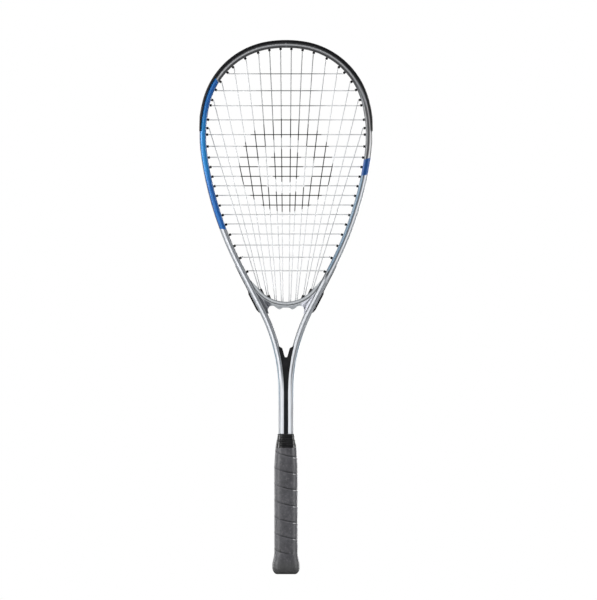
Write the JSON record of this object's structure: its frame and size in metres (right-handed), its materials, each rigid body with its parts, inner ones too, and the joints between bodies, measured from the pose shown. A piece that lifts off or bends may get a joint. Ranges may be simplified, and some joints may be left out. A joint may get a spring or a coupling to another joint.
{
  "type": "squash racket",
  "caption": "Squash racket with a one-piece bent tube frame, open throat, moulded bridge, woven strings, bumper guard and a wrapped eight-sided handle.",
  "frame": {"origin": "centre of the butt's end face, on the racket's long axis", "axes": "+Z from the butt to the tip, +X to the right seen from the front, the front of the string bed faces -Y"},
  "size_m": [0.2228, 0.0318, 0.686],
  "materials": {
    "frame_paint": "metallic lacquer over aluminium: charcoal tip, silver throat, blue left side",
    "bridge_grey": "satin silver-grey lacquer on moulded plastic",
    "black_plastic": "black moulded nylon",
    "bumper_black": "black moulded nylon, slightly scuffed",
    "string": "clear-coated white multifilament",
    "handle_core": "moulded foam plastic",
    "cap_plastic": "dark moulded plastic",
    "staple_steel": "plain steel wire",
    "badge_plastic": "plain moulded disc",
    "grip": "dark grey tacky synthetic wrap",
    "tape": "black vinyl tape",
    "collar_rubber": "glossy black rubber"
  },
  "bodies": {
    "root": {"frame_tube": "frame_paint", "throat_bridge": "bridge_grey", "bridge_grommets": "black_plastic", "shaft_insert": "black_plastic", "bumper_guard": "bumper_black", "grommet_strip_left": "black_plastic", "grommet_strip_right": "black_plastic", "throat_strip_left": "black_plastic", "throat_strip_right": "black_plastic", "main_string": "string", "cross_string": "string", "handle_half_front": "handle_core", "handle_half_back": "handle_core", "butt_cap": "cap_plastic", "butt_cap_staples": "staple_steel", "butt_badge": "badge_plastic", "grip_wrap": "grip", "finishing_tape": "tape", "collar": "collar_rubber"}
  },
  "joints": []
}
